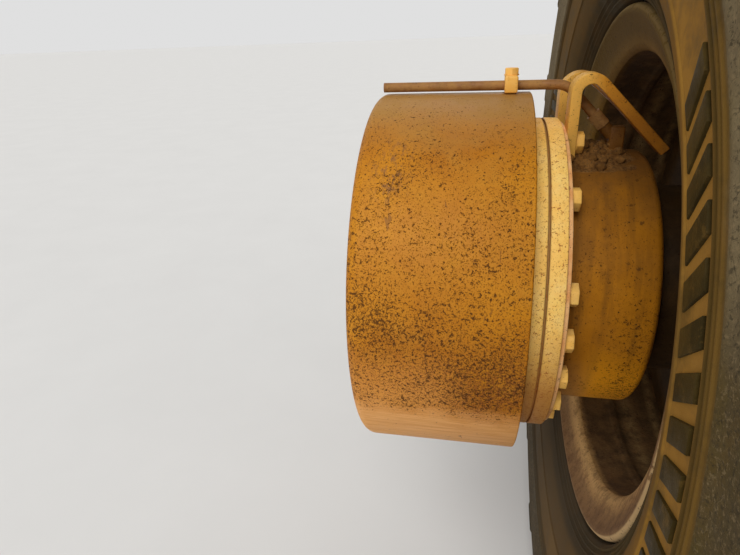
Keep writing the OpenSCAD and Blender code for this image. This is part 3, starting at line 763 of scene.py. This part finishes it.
# guard bars, bent from flat bar
guardBar = {"thick": 12, "wide": 32, "footX": 264, "bendX": 286.5, "slope": 45, "leg": 112}
frontBar = dict(guardBar, place=0, footLow=171.65, bendZ=247)
rearBar = dict(guardBar, place=20, footLow=160.08, bendX=292.5, bendZ=235, slope=40, leg=84)


def makeGuardBar(d):
    footY = -flangeBolt["circle"] * math.sin(math.radians(boltClock(d["place"])))
    bm = bmesh.new()
    corners = [(d["footX"], -d["wide"] / 2), (d["footX"] + d["thick"], -d["wide"] / 2),
               (d["footX"] + d["thick"], d["wide"] / 2), (d["footX"], d["wide"] / 2)]
    verts = [bm.verts.new((x * mm, (footY + y) * mm, d["footLow"] * mm)) for x, y in corners]
    end = [bm.faces.new(verts)]
    end = extrudeEnd(bm, end, (0, 0, (d["bendZ"] - d["footLow"]) * mm))
    bendDown(bm, end, (d["bendX"], d["bendZ"]), 90 + d["slope"], 18, d["slope"], d["leg"])
    sharp = [e for e in bm.edges if len(e.link_faces) == 2 and e.calc_face_angle(0) > 1.2]
    soften(bm, sharp, 1.3)
    return bm


finishPiece("frontGuardBar", makeGuardBar(frontBar), "housing",
            [guardPaint], ["front_guard_bar"], 25)
finishPiece("rearGuardBar", makeGuardBar(rearBar), "housing",
            [guardPaint], ["rear_guard_bar"], 25)
barBolts = bmesh.new()
barTop = (guardBar["footX"] + guardBar["thick"]) * mm
addCopies(barBolts, head, [
    clock(boltClock(place)) @ Matrix.Translation((barTop, 0, flangeBolt["circle"] * mm))
    for place in flangeBolt["bars"]])
finishPiece("guardBoltHeads", barBolts, "housing", [sunlitBoltPaint], ["guard_bolts"])
head.free()
print("bolts and guard bars ready")

# steel line with its clip, nut and elbow
steelLine = {"radius": 6, "startX": 34, "height": 254, "bendX": 251, "bendRadius": 30,
             "slope": 46, "leg": 62}


def lineEnd(d):
    slope = math.radians(d["slope"])
    x = d["bendX"] + d["bendRadius"] * math.sin(slope) + d["leg"] * math.cos(slope)
    z = d["height"] - d["bendRadius"] * (1 - math.cos(slope)) - d["leg"] * math.sin(slope)
    return x, z


def makeLine(d):
    bm = bmesh.new()
    bmesh.ops.create_circle(bm, cap_ends=True, segments=28, radius=d["radius"] * mm)
    bmesh.ops.transform(bm, matrix=Matrix.Translation((d["startX"] * mm, 0, d["height"] * mm))
                        @ alongAxle, verts=bm.verts)
    end = extrudeEnd(bm, bm.faces[:], ((d["bendX"] - d["startX"]) * mm, 0, 0))
    bendDown(bm, end, (d["bendX"], d["height"] - d["bendRadius"]), d["slope"], 14,
             d["slope"], d["leg"])
    return bm


finishPiece("steelLineTube", makeLine(steelLine), "housing",
            [lineSteel], ["steel_line"], 40)


def block(sizes, centre, edge):
    bm = bmesh.new()
    bmesh.ops.create_cube(bm, size=1)
    bmesh.ops.scale(bm, verts=bm.verts, vec=[s * mm for s in sizes])
    bmesh.ops.translate(bm, verts=bm.verts, vec=[c * mm for c in centre])
    soften(bm, bm.edges[:], edge)
    return bm


clipShape = {"x": 196, "long": 16, "wide": 34, "low": 246, "high": 266, "capFlats": 16,
             "capHeight": 8.6, "capWasher": 9.2}


def makeClip(d):
    bm = block((d["long"], d["wide"], d["high"] - d["low"]),
               (d["x"], 0, (d["high"] + d["low"]) / 2), 2.2)
    cap = hexHead(d["capFlats"], d["capHeight"], d["capWasher"], 1.2, 1.0)
    addCopies(bm, cap, [Matrix.Translation((d["x"] * mm, 0, d["high"] * mm))
                        @ Matrix.Rotation(math.radians(-90), 4, "Y")])
    cap.free()
    return bm


finishPiece("lineClipBlock", makeClip(clipShape), "housing",
            [sunlitBoltPaint], ["line_clip"], 30)

# the nut and the elbow sit on the line's lower end, along its slope
endX, endZ = lineEnd(steelLine)
downLine = (Matrix.Translation((endX * mm, 0, endZ * mm))
            @ Matrix.Rotation(math.radians(steelLine["slope"]), 4, "Y"))
nutShape = {"flats": 17, "long": 20, "back": 25.2}


def makeNut(d):
    bm = bmesh.new()
    nut = hexHead(d["flats"], d["long"], None, 0, 1.6)
    addCopies(bm, nut, [downLine @ Matrix.Translation((-d["back"] * mm, 0, 0))])
    nut.free()
    return bm


finishPiece("lineNutHex", makeNut(nutShape), "housing",
            [lineSteel], ["line_nut"], 25)

elbowShape = {"wide": 18, "low": 171.4, "sunk": 6, "over": 3, "ahead": 4, "neck": 8,
              "neckLong": 16, "neckAhead": 3}


def makeElbow(d):
    high, low = endZ + d["over"], d["low"] - d["sunk"]
    bm = block((d["wide"], d["wide"], high - low),
               (endX + d["ahead"] + d["wide"] / 2, 0, (high + low) / 2), 2.5)
    neck = bmesh.new()
    bmesh.ops.create_cone(neck, cap_ends=True, segments=28, radius1=d["neck"] * mm,
                          radius2=d["neck"] * mm, depth=d["neckLong"] * mm)
    bmesh.ops.transform(neck, matrix=alongAxle, verts=neck.verts)
    addCopies(bm, neck, [downLine @ Matrix.Translation((d["neckAhead"] * mm, 0, 0))])
    neck.free()
    return bm


finishPiece("lineElbowBlock", makeElbow(elbowShape), "housing",
            [elbowPaint], ["line_elbow"], 30)
print("line and fittings ready")

# turning side: hub, cover, studs, disc
hubShape = [(376, 60.05), (376, 125, 4), (481, 125, 5), (481, 192, 2.5), (504, 192, 2),
            (504, 139.8, 1), (586, 139.8, 2), (586, 0), (480, 0), (480, 60.05)]
coverShape = [(586, 0), (586, 134, 0.5), (600, 134, 3), (600, 48, 3), (608, 48, 2.5), (608, 0)]
discShape = [(504, 140), (504, 214, 8), (478, 257.8, 8), (478, 289.8), (492, 289.8),
             (492, 262.8, 8), (518, 219, 8), (518, 140, 1.5)]
finishPiece("hubBarrel", lathe(hubShape, 160), "wheel", [hubPaint], ["hub"], 40)
finishPiece("hubCoverPlate", lathe(coverShape, 96), "wheel",
            [hubPaint], ["hub_cover"], 40)
finishPiece("wheelDiscPlate", lathe(discShape, 192, closed=True), "wheel",
            [discPaint], ["wheel_disc"], 40)

coverBolt = {"flats": 18, "height": 7, "washer": 11, "circle": 120, "count": 12, "from": 600}
coverHeads = bmesh.new()
smallHead = hexHead(coverBolt["flats"], coverBolt["height"], coverBolt["washer"], 1.2, 1.1)
addCopies(coverHeads, smallHead, [
    headPlace((i + 0.5) * 360 / coverBolt["count"], coverBolt["from"], coverBolt["circle"])
    for i in range(coverBolt["count"])])
smallHead.free()
finishPiece("coverBoltHeads", coverHeads, "wheel", [sunlitBoltPaint], ["cover_bolts"])

studShape = {"circle": 167.5, "count": 10, "radius": 11, "backX": 481, "endX": 548,
             "headX": 474, "head": 16}
nutOnStud = {"flats": 33, "height": 24, "washer": 19.5, "washerHeight": 4, "from": 518}


def makeStuds(d):
    one = lathe([(d["headX"], 0), (d["headX"], d["head"], 1.5), (d["backX"], d["head"], 0.4),
                 (d["backX"], d["radius"]), (d["endX"], d["radius"], 1.5), (d["endX"], 0)], 28)
    bm = bmesh.new()
    addCopies(bm, one, [clock(i * 360 / d["count"]) @ Matrix.Translation((0, 0, d["circle"] * mm))
                        for i in range(d["count"])])
    one.free()
    return bm


def makeWheelNuts(d, studs):
    bm = bmesh.new()
    nut = hexHead(d["flats"], d["height"], d["washer"], d["washerHeight"], 2.0)
    addCopies(bm, nut, [headPlace(i * 360 / studs["count"], d["from"], studs["circle"])
                        for i in range(studs["count"])])
    nut.free()
    return bm


finishPiece("wheelStudPins", makeStuds(studShape), "wheel",
            [studSteel], ["wheel_studs"])
finishPiece("wheelNutHexes", makeWheelNuts(nutOnStud, studShape), "wheel",
            [studSteel], ["wheel_nuts"])
print("hub side ready")

# rim: base with its inboard flange, loose side ring
rimShape = {"lip": 341.8, "roll": 7, "rollOut": 13, "rollFrom": -61, "rollTo": 135, "rollSteps": 15,
            "turn": 325.8, "seat": 304.8, "inX": 346, "outX": 600}


def rollPoints(d, x, away):
    # the flange's rolled lip, on the side that away gives (-1 inboard, 1 outboard)
    centreR, centreX = d["lip"] - d["roll"], x + away * d["rollOut"]
    turns = [math.radians(d["rollFrom"] + (d["rollTo"] - d["rollFrom"]) * i / d["rollSteps"])
             for i in range(d["rollSteps"] + 1)]
    return [(centreX + away * d["roll"] * math.sin(turn), centreR + d["roll"] * math.cos(turn))
            for turn in turns]


def rimBaseProfile(d):
    x = d["inX"]
    return ([(x + 46, 300.8), (x, d["seat"], 3), (x, d["turn"], 6)] + rollPoints(d, x, -1)
            + [(x - 11, 317.8, 6), (x - 1, 292.8, 7), (x + 5, 289.8), (395, 289.8, 2),
               (399, 287.4, 2), (407, 287.4, 2), (411, 289.8, 2), (565, 289.8, 4), (577, 280.8, 4),
               (613, 280.8, 1), (613, 299.8, 1), (603, 299.8), (603, 290.8), (591, 290.8),
               (591, 297.8, 0.6), (x + 50, 297.8)])


def sideRingProfile(d):
    x = d["outX"]
    return ([(x - 9, 298.0), (x - 48, 298.0), (x - 48, 300.8), (x, d["seat"], 3), (x, d["turn"], 6)]
            + rollPoints(d, x, 1) + [(x + 11, 317.8, 6), (x + 4, 305.8, 1)])


for name, profile, node in (("rimBaseShell", rimBaseProfile(rimShape), "rim_base"),
                            ("sideRingShell", sideRingProfile(rimShape), "side_ring")):
    finishPiece(name, lathe(profile, 224, closed=True), "wheel",
                [rimPaint], [node], 40)
# these keep their CAD shape
for node, finish in (("lock_ring", ringSteel), ("valve_stem", valveBrass),
                     ("stub_axle", axleSteel)):
    for holder in frame["nodes"][node].material_slots:
        holder.material = finish
print("rim ready")

# tyre: carcass with its ribs, slanted raised bars, lugs
tyreShape = {"wheelX": 473, "steps": 288, "toe": 110, "inner": 634, "lugs": 19, "lugTop": 682.4,
             "lugRoot": 640, "shoulder": 647.5, "wrap": 672, "tread": 158, "lugWide": 66,
             "lugEnd": 174, "crease": 148, "creaseOut": 9.3, "creaseIn": 10.5, "tips": (-14, -26),
             "slant": 74, "treadCuts": range(-45, 46, 15)}
sidewall = [  # (half width, radius), from the bead's toe to the edge of the tread
    (110, 305.3), (126.6, 305.3, 3), (126.6, 325.5), (131, 334), (134, 342.5), (140, 344),
    (146, 345.2, 1.5), (148, 348.5), (150.2, 350), (150.2, 351.8), (148.8, 353.2), (151.4, 355.4),
    (153.2, 356.6), (153.2, 358.4), (151.8, 360), (154.4, 362.4), (156.4, 363.4), (156.4, 365.4),
    (155.2, 367), (160, 374), (165.4, 386), (169.2, 398), (171, 409), (173, 410.5), (173, 412.5),
    (171.8, 414), (175.4, 467), (177.2, 468.2), (177.2, 470), (175.8, 471.4), (175.9, 474),
    (177.4, 475), (177.4, 476.8), (176, 478), (176.1, 480.4), (177.5, 481.4), (177.5, 483),
    (176.3, 484.4), (176.5, 490), (178.4, 492.4), (178.4, 497), (176.9, 499.5), (177.5, 520),
    (178.2, 560), (177.8, 590), (175.6, 612), (170, 632), (160, 648), (148, 657)]


def makeCarcass(d):
    half = [(d["wheelX"] + p[0],) + tuple(p[1:]) for p in sidewall]
    other = [(d["wheelX"] - p[0],) + tuple(p[1:]) for p in reversed(sidewall)]
    inside = [(d["wheelX"] - d["toe"], d["inner"]), (d["wheelX"] + d["toe"], d["inner"])]
    return lathe(half + other + inside, d["steps"], closed=True)


def wrapRound(verts, radius):
    # bends a shape that stands on the tread's flat plan round the axle
    for v in verts:
        turn = v.co.y / (radius * mm)
        v.co.y, v.co.z = v.co.z * math.sin(turn), v.co.z * math.cos(turn)


def makeLug(d):
    # drawn flat: a slanted bar that falls to the shoulder past a crease, then bent round
    bm = bmesh.new()
    wide, bar, slant, crease = d["lugWide"], d["lugWide"] * 0.8, d["slant"], d["crease"]
    nearTip, farTip = d["tips"]
    plan = [(d["lugEnd"], -wide / 2), (d["lugEnd"], wide / 2),
            (crease, wide / 2 + d["creaseOut"]), (nearTip, bar / 2 + slant),
            (farTip, -bar / 2 + slant), (crease, d["creaseIn"] - wide / 2)]
    shift = (slant + (bar - wide) / 2) / 2
    verts = [bm.verts.new((x * mm, (y - shift) * mm, d["lugRoot"] * mm)) for x, y in plan]
    made = bmesh.ops.extrude_face_region(bm, geom=[bm.faces.new(verts)])["geom"]
    top = only(bmesh.types.BMVert, made)
    for v in top:
        v.co.z = (d["shoulder"] if v.co.x > d["tread"] * mm else d["lugTop"]) * mm
    bmesh.ops.connect_verts(bm, verts=[v for v in top if abs(v.co.x - crease * mm) < tiny])
    bmesh.ops.recalc_face_normals(bm, faces=bm.faces)
    upright = [e for e in bm.edges if abs(e.verts[0].co.z - e.verts[1].co.z) > 0.005
               and abs(e.verts[0].co.x - e.verts[1].co.x) < 0.001 and e.calc_face_angle(0) > 0.3]
    soften(bm, upright, 5)
    rim = [e for e in bm.edges if len(e.link_faces) == 2 and e.calc_face_angle(0) > 0.35
           and min(v.co.z for v in e.verts) > (d["lugRoot"] + 5) * mm]
    soften(bm, rim, 3)
    for cut in d["treadCuts"]:
        bmesh.ops.bisect_plane(bm, geom=bm.verts[:] + bm.edges[:] + bm.faces[:], dist=tiny,
                               plane_co=(0, cut * mm, 0), plane_no=(0, 1, 0))
    for v in bm.verts:
        v.co.z = min(v.co.z, d["lugTop"] * mm)
    wrapRound(bm.verts, d["wrap"])
    return bm


def addLugs(bm, d, materialIndex):
    lug = makeLug(d)
    for face in lug.faces:
        face.material_index = materialIndex
    other = lug.copy()
    bmesh.ops.scale(other, verts=other.verts, vec=(-1, 1, 1))
    bmesh.ops.reverse_faces(other, faces=other.faces)
    middle = Matrix.Translation((d["wheelX"] * mm, 0, 0))
    for i in range(d["lugs"]):
        addCopies(bm, other, [clock(i * 360 / d["lugs"]) @ middle])
        addCopies(bm, lug, [clock((i + 0.5) * 360 / d["lugs"]) @ middle])
    lug.free()
    other.free()


raisedBars = {"groups": (86, 262), "spread": 74, "pitch": 4.2, "low": 419, "high": 463,
              "wide": 20, "deep": 6, "lean": 16, "stand": 2.2, "edge": 1.0,
              "wallHalf": 171.2, "wallFrom": 414, "wallTilt": 0.098}


def makeRaisedBar(d):
    # one slanted bar that stands on the sidewall at the top of the wheel
    bm = bmesh.new()
    bmesh.ops.create_cube(bm, size=1)
    bmesh.ops.scale(bm, verts=bm.verts,
                    vec=(d["deep"] * mm, d["wide"] * mm, (d["high"] - d["low"]) * mm))
    for v in bm.verts:
        v.co.y += d["lean"] * mm * (1 if v.co.z > 0 else -1) / 2
        v.co.x += v.co.z * -d["wallTilt"]
    soften(bm, [e for e in bm.edges if all(v.co.x < 0.0 for v in e.verts)], d["edge"], 2)
    middle = (d["low"] + d["high"]) / 2
    wall = tyreShape["wheelX"] - d["wallHalf"] - (middle - d["wallFrom"]) * d["wallTilt"]
    bmesh.ops.translate(bm, verts=bm.verts,
                        vec=((wall - d["stand"] + d["deep"] / 2) * mm, 0, middle * mm))
    return bm


def addRaisedBars(bm, d, materialIndex):
    bar = makeRaisedBar(d)
    for face in bar.faces:
        face.material_index = materialIndex
    # the outboard side has them too
    flip = (Matrix.Translation((2 * tyreShape["wheelX"] * mm, 0, 0))
            @ Matrix.Rotation(math.pi, 4, "Z"))
    turns = []
    for middle in d["groups"]:
        count = int(d["spread"] / d["pitch"])
        turns += [middle + (i - count / 2) * d["pitch"] for i in range(count + 1)]
    addCopies(bm, bar, [clock(turn) for turn in turns])
    addCopies(bm, bar, [clock(turn) @ flip for turn in turns])
    bar.free()


tyreMesh = makeCarcass(tyreShape)
addLugs(tyreMesh, tyreShape, 2)
addRaisedBars(tyreMesh, raisedBars, 1)
finishPiece("tyreCasing", tyreMesh, "wheel",
            [dustyRubber, cleanRubber, lugRubber], ["tyre"], 35)
print("tyre ready")

# dried mud heaped on the small drum, with loose clods
mudHeap = {"fromX": 264.5, "toX": 350, "fromClock": -40, "toClock": 22, "drum": 171, "deep": 21,
           "sunk": 3, "clods": 170, "smallClod": 1.5, "largeClod": 7.5, "seed": 5}


def mudDepth(d, across, around):
    # thick by the flange, thin at the rounded end and at both sides
    edge = min(1, across * 9 + 0.25) * max(0, 1 - across) ** 0.8
    side = math.sin(math.pi * min(1, max(0, around))) ** 0.8
    place = Vector((across * 5, around * 11, d["seed"]))
    lumps = 0.55 + 0.75 * noise.fractal(place * 1.4, 0.8, 2.1, 5)
    return d["deep"] * edge * side * max(0.0, lumps)


def mudSpot(d, x, around, far):
    turn = math.radians(d["fromClock"] + (d["toClock"] - d["fromClock"]) * around)
    return Vector((x, -far * math.sin(turn), far * math.cos(turn)))


def makeMud(d):
    bm = bmesh.new()
    bmesh.ops.create_grid(bm, x_segments=70, y_segments=150, size=0.5)
    for v in bm.verts:
        across, around = v.co.x + 0.5, v.co.y + 0.5
        border = min(across, 1 - across, around, 1 - around) < 0.001
        far = (d["drum"] + (-1.0 if border else mudDepth(d, across, around) - 0.6)) * mm
        x = (d["fromX"] + (d["toX"] - d["fromX"]) * across) * mm
        v.co = mudSpot(d, x, around, far)
    bmesh.ops.recalc_face_normals(bm, faces=bm.faces)
    thick = bmesh.ops.extrude_face_region(bm, geom=bm.faces[:])["geom"]
    for v in only(bmesh.types.BMVert, thick):
        scale = (d["drum"] - d["sunk"]) * mm / math.hypot(v.co.y, v.co.z)
        v.co.y, v.co.z = v.co.y * scale, v.co.z * scale
    bmesh.ops.recalc_face_normals(bm, faces=bm.faces)
    pieces = random.Random(d["seed"])
    for i in range(d["clods"]):
        size = (d["smallClod"] + (d["largeClod"] - d["smallClod"]) * pieces.random() ** 2) * mm
        across = pieces.random() ** 1.6
        around = pieces.gauss(0.52, 0.2)
        if not 0.03 < around < 0.97 or not across < 0.9:
            continue
        far = (d["drum"] + mudDepth(d, across, around)) * mm + size * 0.1
        x = max(d["fromX"] * mm + size, (d["fromX"] + (d["toX"] - d["fromX"]) * across) * mm)
        clod = bmesh.new()
        bmesh.ops.create_icosphere(clod, subdivisions=2, radius=size)
        for v in clod.verts:
            v.co *= 1 + 0.55 * noise.noise(v.co * 170 + Vector((i, 0, 0)))
        addCopies(bm, clod, [Matrix.Translation(mudSpot(d, x, around, far))])
        clod.free()
    return bm


finishPiece("mudHeap", makeMud(mudHeap), "housing", [mud], (), 60)
print("mud ready")
